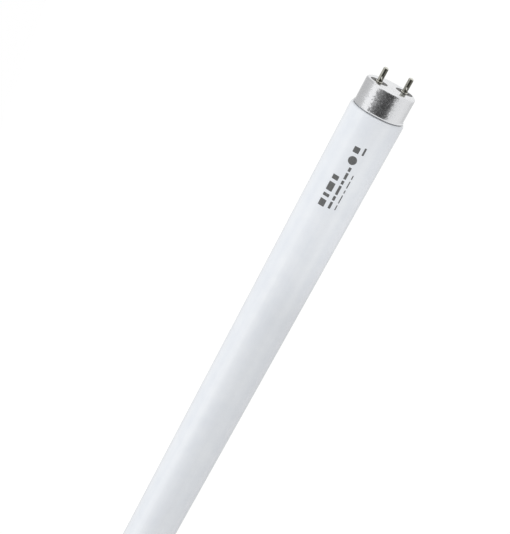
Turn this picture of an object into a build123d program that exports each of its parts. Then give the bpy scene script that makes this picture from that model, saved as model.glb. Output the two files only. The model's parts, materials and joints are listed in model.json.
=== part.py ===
from build123d import *
import math
import os

# Straight fluorescent tube lamp: a sealed opal glass tube with a two-pin aluminium cap on each end.
# Millimetres, +Z up. The lamp lies along X with its middle at the origin, and the two pins of a cap
# stand one above the other. Depths are measured inwards from the outer face of a cap.

# Glass tube
FACE_TO_FACE = 1199.4
TUBE_DIAMETER = 26.0
GLASS_WALL = 0.7
RIM_WIDTH = 1.9
RIM_SEAL = 1.6
STEM_DIAMETER = 9.2
STEM_LENGTH = 19.5
STEM_CORNER = 1.4
FLARE_LENGTH = 6.0
FLARE_BEND = 3.0
EXHAUST_DIAMETER = 3.2
EXHAUST_LENGTH = 12.0
EXHAUST_FILLET = 0.5

# Cap shell, drawn from aluminium sheet
CAP_LENGTH = 12.2
CAP_SHEET = 0.35
CAP_EDGE_RADIUS = 1.3
HOLE_RIM = 0.1
HOLE_EDGE = 0.06
LIP_FLARE = 0.5
LIP_ANGLE = 45.0
LIP_BEND = 1.2
LIP_GAP = 0.3
CEMENT_THICKNESS = 0.5

# Contact pins, hollow and crimped on their lead wires
PIN_SPACING = 12.7
PIN_HOLE_DIAMETER = 8.1
PIN_DIAMETER = 2.35
PIN_LENGTH = 6.8
PIN_WALL = 0.75
PIN_TIP_RADIUS = 0.9
COLLAR_WIDTH = 0.5
COLLAR_THICKNESS = 0.5
RIVET_WIDTH = 0.7
RIVET_THICKNESS = 0.5
CRIMP_HEIGHT = 2.2
CRIMP_DEPTH = 0.4
CRIMP_RADIUS = 1.0
BORE_SPARE = 0.3

# Insulator plate with a boss in each pin hole
PLATE_THICKNESS = 1.8
PLATE_CLEARANCE = 0.1
BOSS_CLEARANCE = 0.2
BOSS_RECESS = 0.1
SEAT_DEPTH = 0.25
SEAT_MARGIN = 0.5
PIN_FIT = 0.03

# Lead wires between the stem and the pins
LEAD_DIAMETER = 0.5
LEAD_BEND = 4.0
RIM_CLEARANCE = 2.0

# Rounded corners, each as a share of the size that it rounds
SHOULDER_ROUNDING = 0.6
NECK_ROUNDING = 0.3
RIM_ROUNDING = 0.45
GROOVE_ROUNDING = 0.3
EXHAUST_TIP_ROUNDING = 0.8
SHEET_ROUNDING = 0.4
PLATE_ROUNDING = 0.2
COLLAR_ROUNDING = 0.4
COLLAR_FOOT_ROUNDING = 0.3
RIVET_ROUNDING = 0.8
BORE_MOUTH_ROUNDING = 0.2
BORE_END_ROUNDING = 0.5

# Radii that follow from the sizes above
tube_radius = TUBE_DIAMETER / 2
pin_offset = PIN_SPACING / 2
pin_radius = PIN_DIAMETER / 2
collar_radius = pin_radius + COLLAR_WIDTH
hole_radius = PIN_HOLE_DIAMETER / 2
cap_radius = pin_offset + hole_radius + HOLE_RIM + CAP_EDGE_RADIUS
cap_inner_radius = cap_radius - CAP_SHEET
cap_inner_edge = CAP_EDGE_RADIUS - CAP_SHEET
neck_radius = cap_inner_radius - CEMENT_THICKNESS
mouth_radius = neck_radius - RIM_WIDTH
stem_radius = STEM_DIAMETER / 2
exhaust_radius = EXHAUST_DIAMETER / 2
rim_bead = RIM_ROUNDING * RIM_WIDTH

# Depths that follow, from the cap face inwards
boss_top = BOSS_RECESS
collar_seat = boss_top + SEAT_DEPTH
plate_back = CAP_SHEET + PLATE_THICKNESS
rivet_end = plate_back + RIVET_THICKNESS
rim_depth = rivet_end + RIM_CLEARANCE
flare_depth = rim_depth + FLARE_LENGTH
press_depth = rim_depth + STEM_LENGTH
shoulder_depth = CAP_LENGTH + LIP_GAP
lip_angle = math.radians(LIP_ANGLE)
lip_run = LIP_FLARE / math.tan(lip_angle)
bend_depth = CAP_LENGTH - CAP_SHEET * math.sin(lip_angle) - lip_run


def station(depth):
    """Return the X of a plane that lies this deep in the right-hand cap."""
    return FACE_TO_FACE / 2 - depth


def turned(outline):
    """Revolve a closed outline of (x, radius, corner rounding) points about the lamp's axis."""
    points = [(x, radius) for x, radius, _ in outline]
    rounding = [corner for _, _, corner in outline]
    return revolve(make_face(FilletPolyline(*points, radius=rounding, close=True)), Axis.X)


def turned_in_cap(outline):
    """Revolve an outline of (depth, radius, corner rounding) points at the right-hand end."""
    return turned([(station(depth), radius, corner) for depth, radius, corner in outline])


def turned_in_both_caps(outline):
    """Revolve an outline that starts on the axis in one cap and is mirrored into the other."""
    right = [(station(depth), radius, corner) for depth, radius, corner in outline]
    left = [(-x, radius, corner) for x, radius, corner in reversed(right)]
    return turned(right + left)


def rod(radius, start, end, height=0.0):
    """Make a cylinder along X between two depths in the right-hand cap, at this height."""
    length = abs(end - start)
    middle = station((start + end) / 2)
    return Pos(middle, 0, height) * Rot(0, 90, 0) * Cylinder(radius, length)


def glass_tube():
    """Make the sealed tube: necked ends, each with a flared stem and an exhaust tip inside the cap."""
    step = abs(tube_radius - neck_radius)
    neck_fillet = NECK_ROUNDING * step
    outside = turned_in_both_caps([
        (press_depth - EXHAUST_LENGTH, 0, 0),
        (press_depth - EXHAUST_LENGTH, exhaust_radius, EXHAUST_TIP_ROUNDING * exhaust_radius),
        (press_depth, exhaust_radius, EXHAUST_FILLET),
        (press_depth, stem_radius, STEM_CORNER),
        (flare_depth, stem_radius, FLARE_BEND),
        (rim_depth, mouth_radius, rim_bead),
        (rim_depth, neck_radius, rim_bead),
        (shoulder_depth, neck_radius, neck_fillet),
        (shoulder_depth, tube_radius, SHOULDER_ROUNDING * step),
    ])
    slope = (mouth_radius - stem_radius) / FLARE_LENGTH
    rise = GLASS_WALL * math.hypot(1, slope)
    groove_depth = rim_depth + RIM_SEAL
    groove_radius = mouth_radius + rise - slope * RIM_SEAL
    flare_start = rim_depth + (mouth_radius + rise - stem_radius - GLASS_WALL) / slope
    groove_corner = GROOVE_ROUNDING * (neck_radius - GLASS_WALL - groove_radius)
    cavity = turned_in_both_caps([
        (press_depth + GLASS_WALL, 0, 0),
        (press_depth + GLASS_WALL, stem_radius + GLASS_WALL, STEM_CORNER + GLASS_WALL),
        (flare_start, stem_radius + GLASS_WALL, FLARE_BEND - GLASS_WALL),
        (groove_depth, groove_radius, groove_corner),
        (groove_depth, neck_radius - GLASS_WALL, groove_corner),
        (shoulder_depth + GLASS_WALL, neck_radius - GLASS_WALL, neck_fillet),
        (shoulder_depth + GLASS_WALL, tube_radius - GLASS_WALL, neck_fillet),
    ])
    return outside - cavity


def cap_shell():
    """Make the drawn cup with its flared lip, and pierce the two pin holes in its face."""
    lip_edge = SHEET_ROUNDING * CAP_SHEET
    cup = turned_in_cap([
        (0, 0, 0),
        (0, cap_radius, CAP_EDGE_RADIUS),
        (bend_depth, cap_radius, LIP_BEND),
        (bend_depth + lip_run, cap_radius + LIP_FLARE, lip_edge),
        (CAP_LENGTH, cap_radius + LIP_FLARE - CAP_SHEET * math.cos(lip_angle), lip_edge),
        (bend_depth + CAP_SHEET * math.tan(lip_angle / 2), cap_inner_radius, LIP_BEND + CAP_SHEET),
        (CAP_SHEET, cap_inner_radius, cap_inner_edge),
        (CAP_SHEET, 0, 0),
    ])
    for height in (pin_offset, -pin_offset):
        cup -= rod(hole_radius, -CAP_SHEET, 2 * CAP_SHEET, height)
    hole_edges = cup.edges().filter_by(GeomType.CIRCLE).group_by(Axis.X)[-1]
    pierced = hole_edges.filter_by(lambda edge: abs(edge.radius - hole_radius) < HOLE_RIM / 2)
    return fillet(pierced, HOLE_EDGE)


def insulator():
    """Make the plate behind the cap face, with a boss in each pin hole and a bore for each pin."""
    plate_radius = cap_inner_radius - PLATE_CLEARANCE
    plate = turned_in_cap([
        (CAP_SHEET, 0, 0),
        (CAP_SHEET, plate_radius, cap_inner_edge),
        (plate_back, plate_radius, PLATE_ROUNDING * PLATE_THICKNESS),
        (plate_back, 0, 0),
    ])
    for height in (pin_offset, -pin_offset):
        plate += rod(hole_radius - BOSS_CLEARANCE, boss_top, CAP_SHEET, height)
        plate -= rod(collar_radius + SEAT_MARGIN, boss_top - CAP_SHEET, collar_seat, height)
        plate -= rod(pin_radius + PIN_FIT, boss_top, plate_back + CAP_SHEET, height)
    return plate


def cement():
    """Make the ring of basing cement between the glass neck and the cap's skirt."""
    start = rim_depth + rim_bead
    end = bend_depth - LIP_BEND * math.tan(lip_angle / 2)
    return turned_in_cap([
        (start, neck_radius, 0),
        (start, cap_inner_radius, 0),
        (end, cap_inner_radius, 0),
        (end, neck_radius, 0),
    ])


def pin(height):
    """Make a hollow pin: round tip, seating collar, riveted inner end and a crimp on each side."""
    bore_radius = pin_radius - PIN_WALL
    collar_top = collar_seat - COLLAR_THICKNESS
    body = turned_in_cap([
        (-PIN_LENGTH, 0, 0),
        (-PIN_LENGTH, pin_radius, PIN_TIP_RADIUS),
        (collar_top, pin_radius, COLLAR_FOOT_ROUNDING * COLLAR_THICKNESS),
        (collar_top, collar_radius, COLLAR_ROUNDING * COLLAR_THICKNESS),
        (collar_seat, collar_radius, 0),
        (collar_seat, pin_radius, 0),
        (plate_back, pin_radius, 0),
        (plate_back, pin_radius + RIVET_WIDTH, 0),
        (rivet_end, pin_radius + RIVET_WIDTH, RIVET_ROUNDING * RIVET_THICKNESS),
        (rivet_end, bore_radius, BORE_MOUTH_ROUNDING * RIVET_THICKNESS),
        (-CRIMP_HEIGHT - BORE_SPARE, bore_radius, BORE_END_ROUNDING * bore_radius),
        (-CRIMP_HEIGHT - BORE_SPARE, 0, 0),
    ])
    for side in (1, -1):
        out = side * (pin_radius + CRIMP_RADIUS - CRIMP_DEPTH)
        body -= Pos(station(-CRIMP_HEIGHT), out, 0) * Sphere(CRIMP_RADIUS)
    return Pos(0, 0, height) * body


def lead_wire(height):
    """Make the wire from the pressed end of the stem, through the flare, into its pin's bore."""
    side = math.copysign(1, height)
    press_flat = (exhaust_radius + EXHAUST_FILLET, stem_radius - STEM_CORNER)
    start_height = side * sum(press_flat) / 2
    route = [
        (station(press_depth), 0, start_height),
        (station(flare_depth), 0, start_height),
        (station(rim_depth), 0, height),
        (station(-CRIMP_HEIGHT), 0, height),
    ]
    path = FilletPolyline(*route, radius=LEAD_BEND)
    section = Plane(route[0], z_dir=(1, 0, 0)) * Circle(LEAD_DIAMETER / 2)
    return sweep(section, path)


def cap_pieces():
    """Return the pieces of one cap, each at the right-hand end, by name."""
    return {
        "cap_shell": cap_shell(),
        "insulator": insulator(),
        "cement": cement(),
        "pin_upper": pin(pin_offset),
        "pin_lower": pin(-pin_offset),
        "lead_wire_upper": lead_wire(pin_offset),
        "lead_wire_lower": lead_wire(-pin_offset),
    }


def main():
    os.makedirs("parts", exist_ok=True)
    export_step(glass_tube(), "parts/glass_tube.step")
    for name, piece in cap_pieces().items():
        export_step(piece, f"parts/right_{name}.step")
        export_step(piece.rotate(Axis.Z, 180), f"parts/left_{name}.step")


main()
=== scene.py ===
# %% [markdown]
# # A straight fluorescent tube lamp
# The lamp is one rigid thing: a sealed opal glass tube with a two-pin aluminium cap on each end. The frame
# holds its solids, and this lesson gives them the surfaces and finishes that the eye meets. Every piece is
# made where the frame has it: the middle of the lamp is the origin, the tube lies along X, and the two pins
# of a cap stand one above the other.

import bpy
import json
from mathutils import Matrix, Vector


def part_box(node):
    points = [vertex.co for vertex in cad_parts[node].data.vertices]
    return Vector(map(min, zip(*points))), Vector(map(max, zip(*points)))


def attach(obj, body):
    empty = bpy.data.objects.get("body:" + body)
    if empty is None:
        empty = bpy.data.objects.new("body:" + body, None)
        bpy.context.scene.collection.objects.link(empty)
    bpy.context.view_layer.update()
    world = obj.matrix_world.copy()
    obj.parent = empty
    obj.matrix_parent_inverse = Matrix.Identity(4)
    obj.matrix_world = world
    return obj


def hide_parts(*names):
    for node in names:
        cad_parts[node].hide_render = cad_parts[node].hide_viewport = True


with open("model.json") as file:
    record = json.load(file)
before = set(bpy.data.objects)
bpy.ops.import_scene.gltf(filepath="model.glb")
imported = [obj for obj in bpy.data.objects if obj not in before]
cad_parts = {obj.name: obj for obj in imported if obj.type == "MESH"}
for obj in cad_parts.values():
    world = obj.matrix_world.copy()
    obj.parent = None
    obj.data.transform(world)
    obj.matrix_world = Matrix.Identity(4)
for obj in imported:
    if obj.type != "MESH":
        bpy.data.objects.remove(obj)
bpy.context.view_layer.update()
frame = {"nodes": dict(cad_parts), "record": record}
print("frame:", len(frame["nodes"]), "nodes")

# %% Modules and the scene
import json
import math

import bmesh
import bpy
import numpy as np

scene = bpy.context.scene
print("Blender", bpy.app.version_string)

# %% [markdown]
# ## Lengths
# A lamp maker thinks in millimetres and Blender's frame is in metres. So lengths are written in
# millimetres, and one factor turns the finished points into metres. A depth is measured inwards from
# the outer face of a cap. The frame's own mounts give the sizes that other things have to fit.

# %% Lengths that the frame gives
MM = 0.001
mounts = {mount["name"]: mount for mount in frame["record"]["mounts"]}
TUBE_RADIUS = mounts["tube_grip"]["dims"]["r_mm"]
PIN_RADIUS = mounts["right_pin_upper"]["dims"]["r_mm"]
PIN_HEIGHT = mounts["right_pin_upper"]["pos_m"][2] / MM
FACE = round(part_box("right_cap_shell")[1].x / MM, 2)
ENDS = {"right": 1, "left": -1}
print("cap face at", FACE, "mm, tube radius", TUBE_RADIUS, "mm, pins at", PIN_HEIGHT, "mm")

# %% [markdown]
# ## Surfaces from profiles
# Glass tubes, drawn cups and turned pins are all round, so a profile carried round an axis gives their
# shape. A lathe (Screw) modifier could do that, but numpy keeps the formula in sight and lets a dent or a
# hole change it. A profile is written as a few corners, each with the radius that rounds it, just as on
# a drawing, and one function turns those corners into arcs.

# %% Rounded corners
ARC_STEPS = 10
TOUCHING = 1e-6


def unit(vectors):
    """Divide each vector by its own length."""
    return vectors / np.linalg.norm(vectors, axis=-1, keepdims=True)


def rounded(corners):
    """Round the corners of an outline of (along, radius, rounding) rows.

    With h as half a corner's angle, its arc starts rounding / tan(h) along one side and ends as far along
    the other, and the centre lies rounding / sin(h) along the bisector. Points on the arc are weighted
    means of the two ends, with the sines of the angles that are left and done as weights.
    """
    corners = np.array(corners, float)
    place, rounding = corners[:, :2], corners[:, 2:]
    back = unit(np.roll(place, 1, axis=0) - place)
    ahead = unit(np.roll(place, -1, axis=0) - place)
    half = np.arccos(np.sum(back * ahead, axis=1, keepdims=True)) / 2
    start = place + back * rounding / np.tan(half)
    end = place + ahead * rounding / np.tan(half)
    centre = place + unit(back + ahead) * rounding / np.sin(half)
    turn = math.pi - 2 * half
    done = np.linspace(0, 1, ARC_STEPS) * turn
    from_start = (np.sin(turn - done) / np.sin(turn))[..., None] * (start - centre)[:, None]
    from_end = (np.sin(done) / np.sin(turn))[..., None] * (end - centre)[:, None]
    points = (centre[:, None] + from_start + from_end).reshape(-1, 2)
    apart = np.linalg.norm(np.diff(points, axis=0), axis=1) > TOUCHING
    return points[np.append(True, apart)]


print("an arc has", ARC_STEPS, "points")

# %% Profiles round the lamp's axis


def spaced(profile, step):
    """Add points to a profile so that no run is longer than the step: x and radius against the length."""
    length = np.append(0, np.cumsum(np.linalg.norm(np.diff(profile, axis=0), axis=1)))
    counts = np.maximum(np.ceil(np.diff(length) / step).astype(int), 1)
    first = np.repeat(length[:-1], counts)
    share = np.repeat(np.diff(length) / counts, counts)
    done = np.arange(counts.sum()) - np.repeat(np.cumsum(counts) - counts, counts)
    along = np.append(first + share * done, length[-1])
    x = np.interp(along, length, profile[:, 0])
    radius = np.interp(along, length, profile[:, 1])
    return np.column_stack([x, radius])


def turned(profile, angles):
    """Carry a profile of (x, radius) round X: y = radius * cos(angle) and z = radius * sin(angle)."""
    x, radius = profile[:, :1], profile[:, 1:]
    parts = np.broadcast_arrays(x, radius * np.cos(angles), radius * np.sin(angles))
    return np.stack(parts, axis=-1)


def from_face(profile):
    """Change a profile of (depth, radius) into (x, radius) at the right-hand end."""
    return profile * (-1, 1) + (FACE, 0)


print("a depth of 0 lies at x =", from_face(np.zeros((1, 2)))[0, 0], "mm")

# %% [markdown]
# ## From grids to pieces
# Each surface is a grid of points, and neighbouring points make a quad. Grids that meet share their edge
# points, so merging those points closes seams and poles. The signed volume then proves the work: it is
# positive and near the volume of the CAD solid only if the mesh is closed and its faces point outwards.

# %% Meshes
MERGE = 1e-7


def volume_of(mesh):
    """Return a mesh's signed volume in cubic millimetres, and how many of its edges lack two faces."""
    solid = bmesh.new()
    solid.from_mesh(mesh)
    bmesh.ops.remove_doubles(solid, verts=solid.verts, dist=MERGE)
    volume = solid.calc_volume(signed=True) / MM**3
    loose = sum(not edge.is_manifold for edge in solid.edges)
    solid.free()
    return volume, loose


def quads_of(grid, first):
    """Number the four corners of every quad of a grid whose first point has this number."""
    number = first + np.arange(grid.shape[0] * grid.shape[1]).reshape(grid.shape[:2])
    corners = [number[:-1, :-1], number[1:, :-1], number[1:, 1:], number[:-1, 1:]]
    return np.stack(corners, axis=-1).reshape(-1, 4)


print("points within", MERGE / MM, "mm of each other are merged")

# %% Pieces
SHARP = math.radians(35)


def make_piece(name, grids, stands_for=None, end=1):
    """Join grids of points in millimetres into one closed mesh that rides on the lamp.

    It replaces the CAD node that it stands for, if there is one. The left end is the right one turned by
    180 degrees about Z, which changes the sign of x and y.
    """
    sizes = [grid.shape[0] * grid.shape[1] for grid in grids]
    starts = np.cumsum([0] + sizes)
    points = np.concatenate([grid.reshape(-1, 3) for grid in grids]) * (end * MM, end * MM, MM)
    quads = np.concatenate([quads_of(grid, first) for grid, first in zip(grids, starts)])
    mesh = bpy.data.meshes.new(name)
    mesh.from_pydata(points.tolist(), [], quads.tolist())
    solid = bmesh.new()
    solid.from_mesh(mesh)
    bmesh.ops.remove_doubles(solid, verts=solid.verts, dist=MERGE)
    solid.to_mesh(mesh)
    solid.free()
    mesh.shade_smooth()
    mesh.set_sharp_from_angle(angle=SHARP)
    piece = bpy.data.objects.new(name, mesh)
    scene.collection.objects.link(piece)
    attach(piece, "root")
    volume, loose = volume_of(mesh)
    told = f"{name}: {len(mesh.polygons)} faces, {volume:.1f} mm3, {loose} open edges"
    if stands_for:
        told += f", CAD {volume_of(frame['nodes'][stands_for].data)[0]:.1f} mm3"
        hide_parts(stands_for)
    print(told)
    return piece


print("edges over", round(math.degrees(SHARP)), "degrees stay sharp")

# %% [markdown]
# ## Finishes
# A finish is a small node tree round a Principled BSDF. Colours are written as sRGB hex values, as seen on
# a screen, and changed to the linear values that a shader adds up. A pattern's scale comes from a size in
# millimetres, because Object coordinates are in metres. A noise texture seldom leaves the range from 0.3
# to 0.7, so a finish that needs a full swing stretches that range.

# %% Colours and scales
NOISE_LOW = 0.3
NOISE_HIGH = 0.7


def linear(colour):
    """Change an sRGB hex colour to linear RGBA: c / 12.92 when dark, else ((c + 0.055) / 1.055) ** 2.4."""
    srgb = np.frombuffer(bytes.fromhex(colour.lstrip("#")), np.uint8) / 255
    channels = np.where(srgb <= 0.04045, srgb / 12.92, ((srgb + 0.055) / 1.055) ** 2.4)
    return (*channels.tolist(), 1.0)


def per_metre(*sizes):
    """Return how many times each of these sizes, in millimetres, fits in a metre."""
    return tuple(1 / (size * MM) for size in sizes)


print("a grey of #808080 is", round(linear("#808080")[0], 3), "to a shader")

# %% Nodes and materials


def node(tree, kind, inputs=None, **settings):
    """Add a node with its settings, and give its inputs a value or a link from another node's output."""
    made = tree.nodes.new("ShaderNode" + kind)
    for name, value in settings.items():
        setattr(made, name, value)
    for socket, value in (inputs or {}).items():
        if isinstance(value, bpy.types.NodeSocket):
            tree.links.new(value, made.inputs[socket])
        else:
            made.inputs[socket].default_value = value
    return made


def finish(name):
    """Start a material: return its tree, its Principled shader and the piece's Object coordinates."""
    material = bpy.data.materials.new(name)
    material.use_nodes = True
    tree = material.node_tree
    tree.nodes.clear()
    shader = node(tree, "BsdfPrincipled")
    node(tree, "OutputMaterial", {"Surface": shader.outputs["BSDF"]})
    place = node(tree, "TexCoord").outputs["Object"]
    return material, tree, shader, place


def dress(piece, material):
    """Give a piece or a CAD node this material and no other."""
    piece.data.materials.clear()
    piece.data.materials.append(material)


print("plain materials that come with the frame:", len(bpy.data.materials))

# %% [markdown]
# ## The glass tube
# A length of drawn glass tube is necked at both ends, where a flared stem is melted in. The outside is one
# profile from the tip of the exhaust tube, over the stem, its flare and the rim, round the neck and the
# shoulder and so on to the other end. The cavity is a second profile one wall further in, carried
# backwards so that its faces point into the hollow.

# %% Sizes of the glass tube
GLASS_WALL = 0.7
SHOULDER_DEPTH = 12.5
SHOULDER_ROUNDING = 1.23
NECK_RADIUS = 10.95
NECK_FILLET = 0.615
RIM_DEPTH = 4.65
RIM_BEAD = 0.855
RIM_SEAL = 1.6
GROOVE_ROUNDING = 0.3
MOUTH_RADIUS = 9.05
FLARE_DEPTH = 10.65
FLARE_BEND = 3.0
STEM_RADIUS = 4.6
STEM_CORNER = 1.4
PRESS_DEPTH = 24.15
EXHAUST_RADIUS = 1.6
EXHAUST_TIP = 1.28
EXHAUST_LENGTH = 12.0
EXHAUST_FILLET = 0.5
TUBE_SIDES = 144
TUBE_RUN = 20.0
print("glass of", 2 * TUBE_RADIUS, "mm, necked to", 2 * NECK_RADIUS, "mm")

# %% Outside of the glass tube


def both_ends(outline):
    """Carry an outline of (depth, radius, rounding) rows on into its mirror image at the other end."""
    right = np.array(outline) * (-1, 1, 1) + (FACE, 0, 0)
    return np.concatenate([right, right[::-1] * (-1, 1, 1)])


glass_outside = both_ends([
    (PRESS_DEPTH - EXHAUST_LENGTH, 0, 0),
    (PRESS_DEPTH - EXHAUST_LENGTH, EXHAUST_RADIUS, EXHAUST_TIP),
    (PRESS_DEPTH, EXHAUST_RADIUS, EXHAUST_FILLET),
    (PRESS_DEPTH, STEM_RADIUS, STEM_CORNER),
    (FLARE_DEPTH, STEM_RADIUS, FLARE_BEND),
    (RIM_DEPTH, MOUTH_RADIUS, RIM_BEAD),
    (RIM_DEPTH, NECK_RADIUS, RIM_BEAD),
    (SHOULDER_DEPTH, NECK_RADIUS, NECK_FILLET),
    (SHOULDER_DEPTH, TUBE_RADIUS, SHOULDER_ROUNDING),
])
print("the outside has", len(glass_outside), "corners")

# %% Cavity of the glass tube
slope = (MOUTH_RADIUS - STEM_RADIUS) / (FLARE_DEPTH - RIM_DEPTH)
rise = GLASS_WALL * math.hypot(1, slope)
groove_radius = MOUTH_RADIUS + rise - slope * RIM_SEAL
groove_corner = GROOVE_ROUNDING * (NECK_RADIUS - GLASS_WALL - groove_radius)
flare_start = RIM_DEPTH + (MOUTH_RADIUS + rise - STEM_RADIUS - GLASS_WALL) / slope
glass_cavity = both_ends([
    (PRESS_DEPTH + GLASS_WALL, 0, 0),
    (PRESS_DEPTH + GLASS_WALL, STEM_RADIUS + GLASS_WALL, STEM_CORNER + GLASS_WALL),
    (flare_start, STEM_RADIUS + GLASS_WALL, FLARE_BEND - GLASS_WALL),
    (RIM_DEPTH + RIM_SEAL, groove_radius, groove_corner),
    (RIM_DEPTH + RIM_SEAL, NECK_RADIUS - GLASS_WALL, groove_corner),
    (SHOULDER_DEPTH + GLASS_WALL, NECK_RADIUS - GLASS_WALL, NECK_FILLET),
    (SHOULDER_DEPTH + GLASS_WALL, TUBE_RADIUS - GLASS_WALL, NECK_FILLET),
])
print("the cavity has", len(glass_cavity), "corners")

# %% Shape of the glass tube


def glass_tube():
    """Turn the outside and the cavity of the tube about X, the cavity with its profile reversed."""
    angles = np.linspace(0, 2 * math.pi, TUBE_SIDES + 1)
    skin = turned(spaced(rounded(glass_outside), TUBE_RUN), angles)
    hollow = turned(spaced(rounded(glass_cavity), TUBE_RUN)[::-1], angles)
    return [skin, hollow]


opal_tube = make_piece("opal_tube", glass_tube(), "glass_tube")

# %% [markdown]
# ## Opal glass
# The glass is clear soda-lime tube, and a thin coat of white powder on its inside makes it opal. Outside it
# is as glossy as any glass. The powder is washed down the tube when it is coated, so its white is a little
# uneven in long faint streaks, and drawing leaves ripples along the glass that only a reflection shows.
# Real transmission would need the coat and the hollow behind it. The powder stops nearly all light, so
# an opaque white under the gloss of glass looks the same and renders faster.

# %% Finish of the glass
opal_glass, tree, shader, place = finish("powder_coated_glass")
STREAK_WIDTH = 5.0
STREAK_LENGTH = 260.0
POWDER_PATCH = 9.0
POWDER_THIN = 0.7
POWDER_THICK = 1.3
RIPPLE_WIDTH = 3.0
RIPPLE_LENGTH = 180.0
RIPPLE_HEIGHT = 0.02
GLASS_ROUGHNESS = 0.1
GLASS_IOR = 1.52

streak_run = node(tree, "Mapping", {
    "Vector": place, "Scale": per_metre(STREAK_LENGTH, STREAK_WIDTH, STREAK_WIDTH)})
streak = node(tree, "TexNoise", {"Vector": streak_run.outputs["Vector"], "Scale": 1.0, "Detail": 2.0})
patch = node(tree, "TexNoise", {"Vector": place, "Scale": per_metre(POWDER_PATCH)[0], "Detail": 4.0})
uneven = node(tree, "Math", {0: streak.outputs["Fac"], 1: patch.outputs["Fac"]}, operation="ADD")
powder = node(tree, "MapRange", {
    "Value": uneven.outputs["Value"], "From Min": POWDER_THIN, "From Max": POWDER_THICK})
white = node(tree, "MixRGB", {
    "Fac": powder.outputs["Result"], "Color1": linear("#E6EAF0"), "Color2": linear("#EEF1F5")})
ripple_run = node(tree, "Mapping", {
    "Vector": place, "Scale": per_metre(RIPPLE_LENGTH, RIPPLE_WIDTH, RIPPLE_WIDTH)})
ripple = node(tree, "TexNoise", {"Vector": ripple_run.outputs["Vector"], "Scale": 1.0, "Detail": 1.0})
bump = node(tree, "Bump", {
    "Height": ripple.outputs["Fac"], "Strength": 1.0, "Distance": RIPPLE_HEIGHT * MM})
tree.links.new(white.outputs["Color"], shader.inputs["Base Color"])
tree.links.new(bump.outputs["Normal"], shader.inputs["Normal"])
shader.inputs["Roughness"].default_value = GLASS_ROUGHNESS
shader.inputs["IOR"].default_value = GLASS_IOR
dress(opal_tube, opal_glass)
print("finish:", opal_glass.name)

# %% [markdown]
# ## Round plates with two holes
# A cap shell and the insulator behind it are both round, with two holes off the axis, so no single turn
# gives them. A boolean cut would, but it leaves ragged faces round the holes, which show in shiny metal.
# Here each half of a flat face is ruled from the rim of its hole to the outline of the half disc, and both
# share their points with the turned outside, so the quads flow round the holes. The lower half is the
# upper one turned by 180 degrees.

# %% Flat faces round a hole
HALF_TURN_STEPS = 96
DIAMETER_STEPS = 48
RULED_STEPS = (0, 0.04, 0.2, 0.4, 0.6, 0.8, 0.96, 1)


def half_disc(radius):
    """Walk once round the upper half disc: y, z on the arc from +Y to -Y, then along the diameter."""
    arc = np.linspace(0, math.pi, HALF_TURN_STEPS + 1)
    line = np.linspace(-1, 1, DIAMETER_STEPS + 1)[1:]
    y = np.append(np.cos(arc), line)
    z = np.append(np.sin(arc), np.zeros(DIAMETER_STEPS))
    return radius * np.column_stack([y, z])


def ruled(x, inner, outer):
    """Rule a flat face between two loops: point = inner + share * (outer - inner), all at the same x."""
    share = np.array(RULED_STEPS)[:, None, None]
    flat = inner + share * (outer - inner)
    return np.concatenate([np.full_like(flat[..., :1], x), flat], axis=-1)


print("a pierced face has", (len(RULED_STEPS) - 1) * (HALF_TURN_STEPS + DIAMETER_STEPS) * 2, "quads")

# %% A plate or cup with two holes


def pierced(skirt, hole):
    """Make a round plate or cup with two holes from two profiles of (depth, radius).

    The skirt runs round the outside from the front face to the back face. The hole's profile has its
    radius from the hole's own axis and runs from the back face to the front face. The hole's points lie
    on the lines from its axis to the points of the half disc, so that every face has the same columns.
    """
    front, back = half_disc(skirt[0, 1]), half_disc(skirt[-1, 1])
    axis = np.array([0, PIN_HEIGHT])
    rays = unit(front - axis)
    x, radius = from_face(hole)[:, :1], hole[:, 1:, None]
    around = axis + radius * rays
    bore = np.concatenate([np.broadcast_to(x[..., None], around[..., :1].shape), around], axis=-1)
    front_face = ruled(bore[-1, 0, 0], around[-1], front)
    back_face = ruled(bore[0, 0, 0], around[0], back)[::-1]
    upper = [front_face, bore, back_face]
    lower = [grid * (1, -1, -1) for grid in upper]
    outside = turned(from_face(skirt), np.linspace(0, 2 * math.pi, 2 * HALF_TURN_STEPS + 1))
    return [outside] + upper + lower


print("holes", PIN_HEIGHT, "mm above and below the axis")

# %% [markdown]
# ## The cap shells
# A cap is a cup drawn from thin aluminium sheet: a flat face with a rounded edge, a straight skirt, and a
# lip that is flared so that the shell slides over the glass. The two pin holes nearly touch the rounded
# edge. Their punched edges are softened, which gives each hole the thin bright line that metal has there.
# A Solidify modifier could thicken an open cup, but it would not round the edge of the lip or keep the
# bends true, so one profile runs down the outside and back up the inside of the sheet.

# %% Sizes of the cap shells
CAP_RADIUS = 11.8
CAP_SHEET = 0.35
CAP_EDGE = 1.3
CAP_LENGTH = 12.2
LIP_FLARE = 0.5
LIP_BEND = 1.2
LIP_EDGE = 0.14
LIP_ANGLE = math.radians(45)
HOLE_RADIUS = 4.05
HOLE_EDGE = 0.06
HOLE_FLAT = 0.01
SKIRT_RUN = 1.0

lip_run = LIP_FLARE / math.tan(LIP_ANGLE)
bend_depth = CAP_LENGTH - CAP_SHEET * math.sin(LIP_ANGLE) - lip_run
inner_radius = CAP_RADIUS - CAP_SHEET
inner_edge = CAP_EDGE - CAP_SHEET
face_radius = CAP_RADIUS - CAP_EDGE
print("caps of", 2 * CAP_RADIUS, "mm,", CAP_LENGTH, "mm long")

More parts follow.
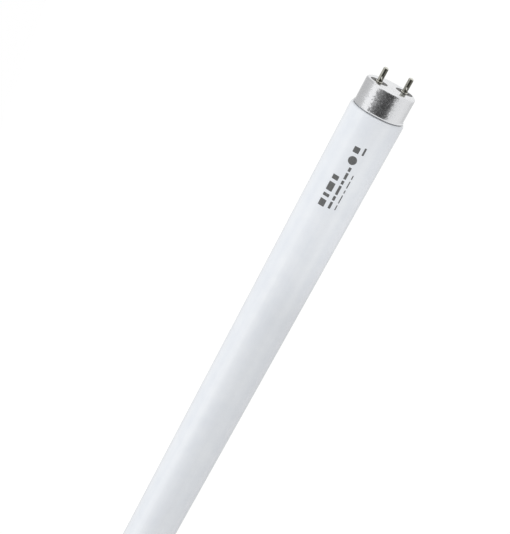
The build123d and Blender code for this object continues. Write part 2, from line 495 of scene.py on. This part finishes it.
# %% Shape of the cap shells
shell_skirt = rounded([
    (0, face_radius, 0),
    (0, CAP_RADIUS, CAP_EDGE),
    (bend_depth, CAP_RADIUS, LIP_BEND),
    (bend_depth + lip_run, CAP_RADIUS + LIP_FLARE, LIP_EDGE),
    (CAP_LENGTH, CAP_RADIUS + LIP_FLARE - CAP_SHEET * math.cos(LIP_ANGLE), LIP_EDGE),
    (bend_depth + CAP_SHEET * math.tan(LIP_ANGLE / 2), inner_radius, LIP_BEND + CAP_SHEET),
    (CAP_SHEET, inner_radius, inner_edge),
    (CAP_SHEET, face_radius, 0),
])
shell_hole = rounded([
    (CAP_SHEET, HOLE_RADIUS, 0),
    (0, HOLE_RADIUS, HOLE_EDGE),
    (0, HOLE_RADIUS + HOLE_EDGE + HOLE_FLAT, 0),
])
cap_shells = [
    make_piece(f"{side}_drawn_cap", pierced(spaced(shell_skirt, SKIRT_RUN), shell_hole),
               f"{side}_cap_shell", end)
    for side, end in ENDS.items()
]

# %% [markdown]
# ## Drawn aluminium
# Drawing stretches the sheet, and its grains turn a little against each other, so a bright cap keeps a
# fine orange peel that breaks up the edge of every dark reflection. Each grain is a cell of a Voronoi
# texture whose random colour tilts the surface. The colour's swing about grey is cubed, so that most
# grains hardly tilt and a few show as bright specks. Some grains are duller than others, too: light from
# beside a dark reflection spreads into them, which mottles it and leaves pale places smooth. Fine lines
# along the skirt show where the sheet slid over the tool. The face lies flat under the punch and is hardly
# stretched, so tilt and lines fade out round the cap's edge.

# %% Grain of the drawn sheet
aluminium, tree, shader, place = finish("drawn_aluminium")
GRAIN = 0.5
GRAIN_TILT = 0.1
FACE_SHARE = 0.2

axes = node(tree, "SeparateXYZ", {"Vector": place})
from_middle = node(tree, "Math", {0: axes.outputs["X"]}, operation="ABSOLUTE")
stretched = node(tree, "MapRange", {
    "Value": from_middle.outputs["Value"], "From Min": (FACE - CAP_EDGE) * MM, "From Max": FACE * MM,
    "To Min": 1.0, "To Max": FACE_SHARE})
tilt = node(tree, "Math", {0: stretched.outputs["Result"], 1: GRAIN_TILT}, operation="MULTIPLY")
grain = node(tree, "TexVoronoi", {"Vector": place, "Scale": per_metre(GRAIN)[0]})
swing = node(tree, "VectorMath", {
    0: grain.outputs["Color"], 1: (2, 2, 2), 2: (-1, -1, -1)}, operation="MULTIPLY_ADD")
square = node(tree, "VectorMath", {
    0: swing.outputs["Vector"], 1: swing.outputs["Vector"]}, operation="MULTIPLY")
cube = node(tree, "VectorMath", {
    0: square.outputs["Vector"], 1: swing.outputs["Vector"]}, operation="MULTIPLY")
print("grains of", GRAIN, "mm")

# %% Finish of the cap shells
DRAW_LINE_WIDTH = 0.35
DRAW_LINE_LENGTH = 14.0
DRAW_LINE_HEIGHT = 0.006
DULL_PATCH = 3.0
BRIGHT_ROUGHNESS = 0.09
DULL_ROUGHNESS = 0.33

lines_run = node(tree, "Mapping", {
    "Vector": place, "Scale": per_metre(DRAW_LINE_LENGTH, DRAW_LINE_WIDTH, DRAW_LINE_WIDTH)})
lines = node(tree, "TexNoise", {"Vector": lines_run.outputs["Vector"], "Scale": 1.0, "Detail": 2.0})
bump = node(tree, "Bump", {
    "Height": lines.outputs["Fac"], "Strength": stretched.outputs["Result"],
    "Distance": DRAW_LINE_HEIGHT * MM})
tilted = node(tree, "VectorMath", {
    0: cube.outputs["Vector"], 1: tilt.outputs["Value"], 2: bump.outputs["Normal"]},
    operation="MULTIPLY_ADD")
facet = node(tree, "VectorMath", {0: tilted.outputs["Vector"]}, operation="NORMALIZE")
dull = node(tree, "TexNoise", {"Vector": place, "Scale": per_metre(DULL_PATCH)[0], "Detail": 3.0})
duller = node(tree, "Math", {0: dull.outputs["Fac"], 1: grain.outputs["Color"]}, operation="ADD")
rough = node(tree, "MapRange", {
    "Value": duller.outputs["Value"], "From Min": 2 * NOISE_LOW, "From Max": 2 * NOISE_HIGH,
    "To Min": BRIGHT_ROUGHNESS, "To Max": DULL_ROUGHNESS})
tint = node(tree, "MixRGB", {
    "Fac": lines.outputs["Fac"], "Color1": linear("#E4E5E8"), "Color2": linear("#F1F2F3")})
tree.links.new(tint.outputs["Color"], shader.inputs["Base Color"])
tree.links.new(rough.outputs["Result"], shader.inputs["Roughness"])
tree.links.new(facet.outputs["Vector"], shader.inputs["Normal"])
shader.inputs["Metallic"].default_value = 1.0
for shell in cap_shells:
    dress(shell, aluminium)
print("finish:", aluminium.name)

# %% [markdown]
# ## The insulators
# Behind each cap face lies a plate of dark phenolic, which keeps the pins apart. A boss fills each hole of
# the cap almost to its face, and a shallow recess in the boss seats the collar of the pin. It is a round
# plate with two holes, too, so the function that made the shells makes it from two other profiles.

# %% Shape of the insulators
PLATE_RADIUS = 11.35
PLATE_FRONT_EDGE = 0.95
PLATE_BACK_EDGE = 0.36
PLATE_BACK = 2.15
BOSS_RADIUS = 3.85
BOSS_TOP = 0.1
BOSS_EDGE = 0.06
SEAT_RADIUS = 2.175
SEAT_DEPTH = 0.35
BORE_RADIUS = 1.205

plate_skirt = rounded([
    (CAP_SHEET, PLATE_RADIUS - PLATE_FRONT_EDGE, 0),
    (CAP_SHEET, PLATE_RADIUS, PLATE_FRONT_EDGE),
    (PLATE_BACK, PLATE_RADIUS, PLATE_BACK_EDGE),
    (PLATE_BACK, PLATE_RADIUS - PLATE_BACK_EDGE, 0),
])
plate_hole = rounded([
    (PLATE_BACK, BORE_RADIUS, 0),
    (SEAT_DEPTH, BORE_RADIUS, 0),
    (SEAT_DEPTH, SEAT_RADIUS, 0),
    (BOSS_TOP, SEAT_RADIUS, BOSS_EDGE),
    (BOSS_TOP, BOSS_RADIUS, BOSS_EDGE),
    (CAP_SHEET, BOSS_RADIUS, 0),
])
insulators = [
    make_piece(f"{side}_pin_plate", pierced(plate_skirt, plate_hole), f"{side}_insulator", end)
    for side, end in ENDS.items()
]

# %% [markdown]
# ## Pressed phenolic
# Phenolic is pressed hot from resin and wood flour. The mould leaves a dull skin, and the flour shows as
# fine brown flecks in the near black. One noise draws the flecks and lifts the skin over them, because
# both come from the same grains.

# %% Finish of the insulators
phenolic, tree, shader, place = finish("pressed_phenolic")
FLECK = 0.3
FLECK_HEIGHT = 0.01
PHENOLIC_ROUGHNESS = 0.4
PHENOLIC_IOR = 1.6

fleck = node(tree, "TexNoise", {"Vector": place, "Scale": per_metre(FLECK)[0], "Detail": 4.0})
shade = node(tree, "MixRGB", {
    "Fac": fleck.outputs["Fac"], "Color1": linear("#2A2826"), "Color2": linear("#4A4641")})
bump = node(tree, "Bump", {
    "Height": fleck.outputs["Fac"], "Strength": 1.0, "Distance": FLECK_HEIGHT * MM})
tree.links.new(shade.outputs["Color"], shader.inputs["Base Color"])
tree.links.new(bump.outputs["Normal"], shader.inputs["Normal"])
shader.inputs["Roughness"].default_value = PHENOLIC_ROUGHNESS
shader.inputs["IOR"].default_value = PHENOLIC_IOR
for plate in insulators:
    dress(plate, phenolic)
print("finish:", phenolic.name)

# %% [markdown]
# ## The contact pins
# A pin is a hollow brass rivet: a round tip, a straight shank, a collar that sits in the insulator, and an
# end that is spread behind it. The lead wire lies in its bore and two crimps on the shank grip the wire.
# The pin is turned, and its radius is then cut back wherever a ball pressed in from the side would reach.

# %% Sizes of the pins
PIN_LENGTH = 6.8
PIN_TIP = 0.9
COLLAR_RADIUS = 1.675
COLLAR_TOP = -0.15
COLLAR_FOOT = 0.15
COLLAR_EDGE = 0.2
RIVET_RADIUS = 1.875
RIVET_END = 2.65
RIVET_EDGE = 0.4
PIN_BORE = 0.425
PIN_BORE_MOUTH = 0.1
PIN_BORE_END = -2.5
PIN_BORE_TIP = 0.2125
CRIMP_PLACE = -2.2
CRIMP_BALL = 1.0
CRIMP_DEPTH = 0.4
PIN_SIDES = 96
PIN_RUN = 0.07
print("pins of", 2 * PIN_RADIUS, "mm,", PIN_LENGTH, "mm long")

# %% Profile of a pin
pin_profile = spaced(rounded([
    (-PIN_LENGTH, 0, 0),
    (-PIN_LENGTH, PIN_RADIUS, PIN_TIP),
    (COLLAR_TOP, PIN_RADIUS, COLLAR_FOOT),
    (COLLAR_TOP, COLLAR_RADIUS, COLLAR_EDGE),
    (SEAT_DEPTH, COLLAR_RADIUS, 0),
    (SEAT_DEPTH, PIN_RADIUS, 0),
    (PLATE_BACK, PIN_RADIUS, 0),
    (PLATE_BACK, RIVET_RADIUS, 0),
    (RIVET_END, RIVET_RADIUS, RIVET_EDGE),
    (RIVET_END, PIN_BORE, PIN_BORE_MOUTH),
    (PIN_BORE_END, PIN_BORE, PIN_BORE_TIP),
    (PIN_BORE_END, 0, 0),
]), PIN_RUN)
print("a pin's profile has", len(pin_profile), "points")

# %% Shape of the pins


def crimped_pin(height):
    """Turn a pin and press a ball into it from +Y and from -Y.

    On the ray at an angle a from Y, the ball's near side lies at the radius
    c * cos(a) - sqrt(ball ** 2 - along ** 2 - (c * sin(a)) ** 2), where c is the distance of the ball's
    centre from the pin's axis and along is the distance from the crimp along the pin.
    """
    angles = np.linspace(0, 2 * math.pi, PIN_SIDES + 1)
    depth, radius = pin_profile[:, :1], pin_profile[:, 1:]
    out = PIN_RADIUS + CRIMP_BALL - CRIMP_DEPTH
    left = CRIMP_BALL**2 - (depth - CRIMP_PLACE) ** 2 - (out * np.sin(angles)) ** 2
    dent = out * np.abs(np.cos(angles)) - np.sqrt(np.maximum(left, 0))
    radius = np.where(left > 0, np.minimum(radius, dent), radius)
    parts = np.broadcast_arrays(FACE - depth, radius * np.cos(angles), radius * np.sin(angles) + height)
    return [np.stack(parts, axis=-1)]


pins = [
    make_piece(f"{side}_contact_{row}", crimped_pin(height), f"{side}_pin_{row}", end)
    for side, end in ENDS.items()
    for row, height in (("upper", PIN_HEIGHT), ("lower", -PIN_HEIGHT))
]

# %% [markdown]
# ## Plated brass
# Nickel on brass starts bright and dulls to an olive grey. The straight shank is dull and blotchy, and the
# lighter colour on its upper side is painted light from above. The dents that the crimping tool pressed, the
# tip and the collar get a lighter colour still, a painted highlight. These lie off the shank's radius, so
# the distance from the pin's axis tells them from the shank. Wrapping z over the spacing of the pins gives
# both rows the same local height.

# %% Painted top light and painted highlights on the pins
plated_brass, tree, shader, place = finish("dulled_nickel_plate")
TOP_LIGHT_FROM = 0.1 * PIN_RADIUS
TOP_LIGHT_TO = 0.9 * PIN_RADIUS
HIGHLIGHT_FROM = 0.01
HIGHLIGHT_TO = 0.12

axes = node(tree, "SeparateXYZ", {"Vector": place})
wrapped = node(tree, "Math", {
    0: axes.outputs["Z"], 1: 2 * PIN_HEIGHT * MM, 2: 0.0}, operation="WRAP")
local = node(tree, "Math", {0: wrapped.outputs["Value"], 1: PIN_HEIGHT * MM}, operation="SUBTRACT")
# Painted light from above: the upper side of each pin takes a lighter colour.
painted_top_light = node(tree, "MapRange", {
    "Value": local.outputs["Value"], "From Min": TOP_LIGHT_FROM * MM, "From Max": TOP_LIGHT_TO * MM})
across = node(tree, "CombineXYZ", {"Y": axes.outputs["Y"], "Z": local.outputs["Value"]})
from_axis = node(tree, "VectorMath", {0: across.outputs["Vector"]}, operation="LENGTH")
beyond = node(tree, "Math", {0: from_axis.outputs["Value"], 1: PIN_RADIUS * MM}, operation="SUBTRACT")
off_shank = node(tree, "Math", {0: beyond.outputs["Value"]}, operation="ABSOLUTE")
# Painted highlight: the tip, the collar and the crimp dents lie off the shank and get a lighter colour.
painted_highlight = node(tree, "MapRange", {
    "Value": off_shank.outputs["Value"], "From Min": HIGHLIGHT_FROM * MM, "From Max": HIGHLIGHT_TO * MM})
print("bright from", HIGHLIGHT_FROM, "mm off the shank")

# %% Finish of the pins
TARNISH = 1.1
TARNISHED_ROUGHNESS = 0.3
PLATED_ROUGHNESS = 0.18
LATHE_MARK = 0.12
LATHE_LENGTH = 3.0
LATHE_HEIGHT = 0.003

tarnish = node(tree, "TexNoise", {"Vector": place, "Scale": per_metre(TARNISH)[0], "Detail": 4.0})
blotchy = node(tree, "MixRGB", {
    "Fac": tarnish.outputs["Fac"], "Color1": linear("#4F4E46"), "Color2": linear("#85847A")})
# The blotchy tarnish turns lighter on the upper side, which is painted light from above.
tarnish_and_top_light = node(tree, "MixRGB", {
    "Fac": painted_top_light.outputs["Result"], "Color1": blotchy.outputs["Color"], "Color2": linear("#BFBEB4")})
# Off the shank the colour turns lighter still, which is a painted highlight.
colour = node(tree, "MixRGB", {
    "Fac": painted_highlight.outputs["Result"], "Color1": tarnish_and_top_light.outputs["Color"], "Color2": linear("#DCDBD2")})
rough = node(tree, "MapRange", {
    "Value": tarnish.outputs["Fac"], "From Min": NOISE_LOW, "From Max": NOISE_HIGH,
    "To Min": TARNISHED_ROUGHNESS, "To Max": PLATED_ROUGHNESS})
lathe_run = node(tree, "Mapping", {
    "Vector": place, "Scale": per_metre(LATHE_MARK, LATHE_LENGTH, LATHE_LENGTH)})
lathe_marks = node(tree, "TexNoise", {"Vector": lathe_run.outputs["Vector"], "Scale": 1.0, "Detail": 1.0})
bump = node(tree, "Bump", {
    "Height": lathe_marks.outputs["Fac"], "Strength": 1.0, "Distance": LATHE_HEIGHT * MM})
tree.links.new(colour.outputs["Color"], shader.inputs["Base Color"])
tree.links.new(rough.outputs["Result"], shader.inputs["Roughness"])
tree.links.new(bump.outputs["Normal"], shader.inputs["Normal"])
shader.inputs["Metallic"].default_value = 1.0
for pin in pins:
    dress(pin, plated_brass)
print("finish:", plated_brass.name)

# %% [markdown]
# ## Cement and lead wires
# The ring of cement that holds a cap and the wires behind its pins are hidden inside, so their CAD solids
# stay as they are. They still get true finishes: gritty brown cement, and drawn copper-coated wire.

# %% Finish of the cement
cement, tree, shader, place = finish("cured_basing_cement")
GRIT = 0.5
GRIT_HEIGHT = 0.08
CEMENT_ROUGHNESS = 0.9

grit = node(tree, "TexNoise", {"Vector": place, "Scale": per_metre(GRIT)[0], "Detail": 5.0})
earth = node(tree, "MixRGB", {
    "Fac": grit.outputs["Fac"], "Color1": linear("#A58A6B"), "Color2": linear("#D3BFA2")})
bump = node(tree, "Bump", {
    "Height": grit.outputs["Fac"], "Strength": 1.0, "Distance": GRIT_HEIGHT * MM})
tree.links.new(earth.outputs["Color"], shader.inputs["Base Color"])
tree.links.new(bump.outputs["Normal"], shader.inputs["Normal"])
shader.inputs["Roughness"].default_value = CEMENT_ROUGHNESS
for side in ENDS:
    dress(frame["nodes"][f"{side}_cement"], cement)
print("finish:", cement.name)

# %% Finish of the lead wires
lead, tree, shader, place = finish("copper_coated_wire")
WIRE_MARK = 0.1
WIRE_MARK_LENGTH = 2.0
WIRE_SMOOTH = 0.25
WIRE_ROUGH = 0.45

wire_run = node(tree, "Mapping", {
    "Vector": place, "Scale": per_metre(WIRE_MARK_LENGTH, WIRE_MARK, WIRE_MARK)})
wire_marks = node(tree, "TexNoise", {"Vector": wire_run.outputs["Vector"], "Scale": 1.0, "Detail": 2.0})
copper = node(tree, "MixRGB", {
    "Fac": wire_marks.outputs["Fac"], "Color1": linear("#A97A5C"), "Color2": linear("#CDA083")})
rough = node(tree, "MapRange", {
    "Value": wire_marks.outputs["Fac"], "To Min": WIRE_SMOOTH, "To Max": WIRE_ROUGH})
tree.links.new(copper.outputs["Color"], shader.inputs["Base Color"])
tree.links.new(rough.outputs["Result"], shader.inputs["Roughness"])
shader.inputs["Metallic"].default_value = 1.0
for side in ENDS:
    for row in ("upper", "lower"):
        dress(frame["nodes"][f"{side}_lead_wire_{row}"], lead)
print("finish:", lead.name)

# %% [markdown]
# ## The printed field
# A lamp carries a few rows of fine dark print near one cap. Here it is plain blocks, dashes and two simple
# shapes that say nothing. A bump or a painted mask would do, but ink is a layer, so each mark is a thin
# closed patch that follows the glass: loops of its outline, shrunk towards its middle and laid on a
# cylinder just above the glass.

# %% Outlines of the marks
INK_CORNER = 0.2
INK_RUN = 0.3
DOT_STEPS = 48


def block(depth, arc, length, height):
    """Outline a block with rounded corners as a closed loop of (depth, arc) offsets from its middle."""
    x, y = length / 2, height / 2
    loop = rounded([(x, y, INK_CORNER), (-x, y, INK_CORNER), (-x, -y, INK_CORNER), (x, -y, INK_CORNER)])
    return np.array([depth, arc]), spaced(np.concatenate([loop, loop[:1]]), INK_RUN)


def dot(depth, arc, width):
    """Outline a round dot as a closed loop of (depth, arc) offsets from its middle."""
    angles = np.linspace(0, 2 * math.pi, DOT_STEPS + 1)
    return np.array([depth, arc]), width / 2 * np.column_stack([np.cos(angles), np.sin(angles)])


def row_of(depth, arc, height, lengths, gap):
    """Set blocks of these lengths in a row towards the cap, starting at a depth, with equal gaps."""
    ends = np.cumsum(np.array(lengths) + gap)
    middles = depth - ends + gap + np.array(lengths) / 2
    return [block(middle, arc, length, height) for middle, length in zip(middles, lengths)]


print("blocks with corners of", INK_CORNER, "mm")

# %% Shape of the print
INK_PROUD = 0.02
INK_SUNK = 0.05
INK_RINGS = 8


def ink_patch(middle, loop):
    """Lay an outline on the glass as a closed patch.

    Rings of the outline grow from the middle below the glass and shrink to it again above. An arc length
    s from the side that faces -Y is at the angle s / radius, so y = -radius * cos(angle) and
    z = radius * sin(angle).
    """
    grown = np.linspace(0, 1, INK_RINGS)
    share = np.concatenate([grown, grown[::-1]])[:, None, None]
    radius = np.repeat([TUBE_RADIUS - INK_SUNK, TUBE_RADIUS + INK_PROUD], INK_RINGS)[:, None]
    flat = middle + share * loop
    angle = flat[..., 1] / TUBE_RADIUS
    return np.stack([FACE - flat[..., 0], -radius * np.cos(angle), radius * np.sin(angle)], axis=-1)


marks = [
    *row_of(depth=58.4, arc=8.1, height=3.0, lengths=(3.4, 1.5, 4.2, 2.2), gap=1.5),
    *row_of(depth=57.8, arc=4.2, height=1.2, lengths=(3.4, 2.2, 4.6, 1.8, 3.2, 2.0), gap=0.8),
    *row_of(depth=57.4, arc=1.4, height=0.5, lengths=(2.6, 4.2, 1.6, 3.6, 2.0), gap=1.0),
    dot(depth=33.4, arc=5.0, width=4.0),
    block(depth=28.4, arc=5.6, length=2.8, height=2.8),
    block(depth=27.8, arc=2.2, length=3.6, height=0.9),
]
printed_field = make_piece("printed_field", [ink_patch(*mark) for mark in marks])

# %% [markdown]
# ## Printing ink
# The ink is a dull dark grey, stamped on, so it is a little thin and pale in places. An even grey would
# look like a sticker, so a fine noise mixes two greys.

# %% Finish of the print
ink, tree, shader, place = finish("stamped_ink")
THIN_PLACE = 0.6
INK_ROUGHNESS = 0.6

thin = node(tree, "TexNoise", {"Vector": place, "Scale": per_metre(THIN_PLACE)[0], "Detail": 3.0})
grey = node(tree, "MixRGB", {
    "Fac": thin.outputs["Fac"], "Color1": linear("#4B4C4C"), "Color2": linear("#7A7B7B")})
tree.links.new(grey.outputs["Color"], shader.inputs["Base Color"])
shader.inputs["Roughness"].default_value = INK_ROUGHNESS
dress(printed_field, ink)
print("finish:", ink.name)

# %% [markdown]
# ## The camera
# The camera stands close to one end, in front of the lamp and a little above it, and is rolled so that the
# tube runs from the upper right of the picture to the lower left. A camera or a lamp looks along its own
# -Z, so a place, a direction and a sideways direction are all that its matrix needs.

# %% Camera
CAMERA_PLACE = np.array([674.5, -365.9, 156.6])
LOOK_AT = np.array([496.8, 0.0, 17.6])
ROLL = math.radians(-71.4)
LENS = 61.35


def aimed(name, data, place, ahead, right):
    """Stand a camera or a lamp at a place in millimetres: columns right, up = right x ahead, and back."""
    turn = np.eye(4)
    turn[:3, :3] = np.column_stack([right, np.cross(right, ahead), -ahead])
    turn[:3, 3] = place * MM
    made = bpy.data.objects.new(name, data)
    scene.collection.objects.link(made)
    made.matrix_world = turn.T.tolist()
    return made


look = unit(LOOK_AT - CAMERA_PLACE)
sideways = unit(np.cross(look, (0, 0, 1)))
rolled = math.cos(ROLL) * sideways + math.sin(ROLL) * np.cross(sideways, look)
lens = bpy.data.cameras.new("camera")
lens.lens = LENS
scene.camera = aimed("camera", lens, CAMERA_PLACE, look, rolled)
print("camera at", CAMERA_PLACE, "mm")

# %% [markdown]
# ## A white studio
# The world is white to the camera and in reflections, and it lights the lamp more from above than from its
# sides. Large lamps could do that, but their own shapes would show in the glass and the metal. Here the
# height of a ray's direction sets its strength, and the kind of ray tells what is seen from what lights.

# %% World
SIDE_LEVEL = 0.49
TOP_LEVEL = 1.36


def background_rays(tree):
    """Return a socket that is 1 for the rays that show the background: seen, mirrored or let through."""
    path = node(tree, "LightPath")
    mirrored = node(tree, "Math", {
        0: path.outputs["Is Camera Ray"], 1: path.outputs["Is Glossy Ray"]}, operation="MAXIMUM")
    shown = node(tree, "Math", {
        0: mirrored.outputs["Value"], 1: path.outputs["Is Transmission Ray"]}, operation="MAXIMUM")
    return shown.outputs["Value"]


world = bpy.data.worlds.new("white_studio")
world.use_nodes = True
scene.world = world
tree = world.node_tree
tree.nodes.clear()
ray = node(tree, "SeparateXYZ", {"Vector": node(tree, "TexCoord").outputs["Generated"]})
soft_light = node(tree, "MapRange", {
    "Value": ray.outputs["Z"], "To Min": SIDE_LEVEL, "To Max": TOP_LEVEL})
strength = node(tree, "MapRange", {
    "Value": background_rays(tree), "To Min": soft_light.outputs["Result"], "To Max": 1.0})
sky = node(tree, "Background", {"Color": linear("#FFFFFF"), "Strength": strength.outputs["Result"]})
node(tree, "OutputWorld", {"Surface": sky.outputs["Background"]})
print("light from the side", SIDE_LEVEL, "and from above", TOP_LEVEL)

# %% [markdown]
# ## The floor
# A pale floor lies well below the lamp. A dull board under soft light would look grey against the white
# world, so it glows a little, but only in the rays that show it.

# %% Floor
FLOOR_HEIGHT = -420.0
FLOOR_REACH = 20000.0
FLOOR_GLOW = 0.3


def make_stage(name, grid, material):
    """Make a floor or a card from one grid of points in millimetres, outside the object."""
    mesh = bpy.data.meshes.new(name)
    mesh.from_pydata((grid.reshape(-1, 3) * MM).tolist(), [], quads_of(grid, 0).tolist())
    mesh.shade_smooth()
    mesh.materials.append(material)
    made = bpy.data.objects.new(name, mesh)
    scene.collection.objects.link(made)
    return made


floor_white, tree, shader, place = finish("pale_floor")
glow = node(tree, "Math", {0: background_rays(tree), 1: FLOOR_GLOW}, operation="MULTIPLY")
tree.links.new(glow.outputs["Value"], shader.inputs["Emission Strength"])
shader.inputs["Emission Color"].default_value = linear("#FFFFFF")
shader.inputs["Base Color"].default_value = linear("#D8D8D8")
shader.inputs["Roughness"].default_value = 1.0
shader.inputs["Specular IOR Level"].default_value = 0.0
reach = np.array([-FLOOR_REACH, FLOOR_REACH])
floor_x, floor_y = np.meshgrid(reach, reach, indexing="ij")
floor_grid = np.stack([floor_x, floor_y, np.full_like(floor_x, FLOOR_HEIGHT)], axis=-1)
make_stage("floor", floor_grid, floor_white)
print("floor", FLOOR_HEIGHT, "mm from the lamp's axis")

# %% [markdown]
# ## A soft spot
# The glass beside the cap in view is a little brighter than the rest of the tube. A stronger world would
# lift all of it, so a spot lamp with a soft edge lifts that stretch alone. No reflection shows the lamp.

# %% Spot lamp
SPOT_DEPTH = 56.0
SPOT_DISTANCE = 300.0
SPOT_ELEVATION = math.radians(-30)
SPOT_SPREAD = math.radians(25)
SPOT_POWER = 0.45
SPOT_SOFTNESS = 1.0

beam = np.array([0, math.cos(SPOT_ELEVATION), -math.sin(SPOT_ELEVATION)])
spot_place = (FACE - SPOT_DEPTH, 0, 0) - SPOT_DISTANCE * beam
spot = bpy.data.lights.new("soft_spot", "SPOT")
spot.energy = SPOT_POWER
spot.spot_size = SPOT_SPREAD
spot.spot_blend = SPOT_SOFTNESS
spot_lamp = aimed("soft_spot", spot, spot_place, beam, np.array([1, 0, 0]))
spot_lamp.visible_glossy = False
print("spot lamp at", spot_place.round(1), "mm")

# %% [markdown]
# ## Cards
# Bare metal shows whatever stands round it, so dark, grey and pale cards draw the bands on the caps. A card
# is bent round the lamp's axis, and its tone fades from its centre to its edges, as no plain board's does.
# Each point of its mesh holds its own tone. The cards are seen by reflections only.

# %% A bent card
CARD_END = 1300.0
CARD_STEPS = 48
CARD_FADE = 2.5


def make_card(name, distance, sweep, middle, edge, start=-CARD_END, end=CARD_END):
    """Bend a card round the lamp's axis, from the lowest over the central to the highest angle of its sweep.

    Angles are in degrees, 0 at -Y and 90 at +Z. The card's level fades from the centre to both edges:
    middle + (edge - middle) * |t| ** fade, where t goes from -1 at the lowest angle to 0 at the centre and
    1 at the highest.
    """
    t = np.linspace(-1, 1, CARD_STEPS + 1)
    angle = np.radians(np.interp(t, [-1, 0, 1], sweep))
    x = np.array([start, end])[:, None]
    parts = np.broadcast_arrays(x, -distance * np.cos(angle), distance * np.sin(angle))
    level = middle + (edge - middle) * np.abs(t) ** CARD_FADE
    paper, tree, shader, place = finish(name + "_paper")
    stored = node(tree, "Attribute", attribute_name="level")
    shine = node(tree, "Emission", {"Strength": stored.outputs["Fac"]})
    tree.links.new(shine.outputs["Emission"], tree.nodes["Material Output"].inputs["Surface"])
    card = make_stage(name, np.stack(parts, axis=-1), paper)
    shades = card.data.attributes.new("level", "FLOAT", "POINT")
    shades.data.foreach_set("value", np.tile(level, 2).astype(np.float32))
    card.visible_camera = False
    card.visible_diffuse = False
    card.visible_shadow = False
    card.visible_transmission = False
    return card


print("cards reach", CARD_END, "mm to each side")

# %% Cards
FAR = 650.0
NEAR = 300.0
BELOW = 380.0
BELOW_SWEEP = (183, 220, 260)

cards = [
    make_card("dark_card", FAR, sweep=(-23, 6, 66), middle=0.06, edge=0.4),
    make_card("pale_card", NEAR, sweep=(-100, -60, -24), middle=0.86, edge=0.8),
    make_card("grey_card", FAR, sweep=(101, 150, 182), middle=0.56, edge=0.66),
    make_card("low_card", BELOW, BELOW_SWEEP, middle=0.68, edge=0.74, start=-FACE, end=FACE),
    make_card("end_card_right", BELOW, BELOW_SWEEP, middle=0.92, edge=0.92, start=FACE),
    make_card("end_card_left", BELOW, BELOW_SWEEP, middle=0.92, edge=0.92, end=-FACE),
]
print("cards:", ", ".join(card.name for card in cards))

# %% [markdown]
# ## Finish
# The picture is shown with Blender's Standard view transform.

# %% Finish
scene.view_settings.view_transform = "Standard"
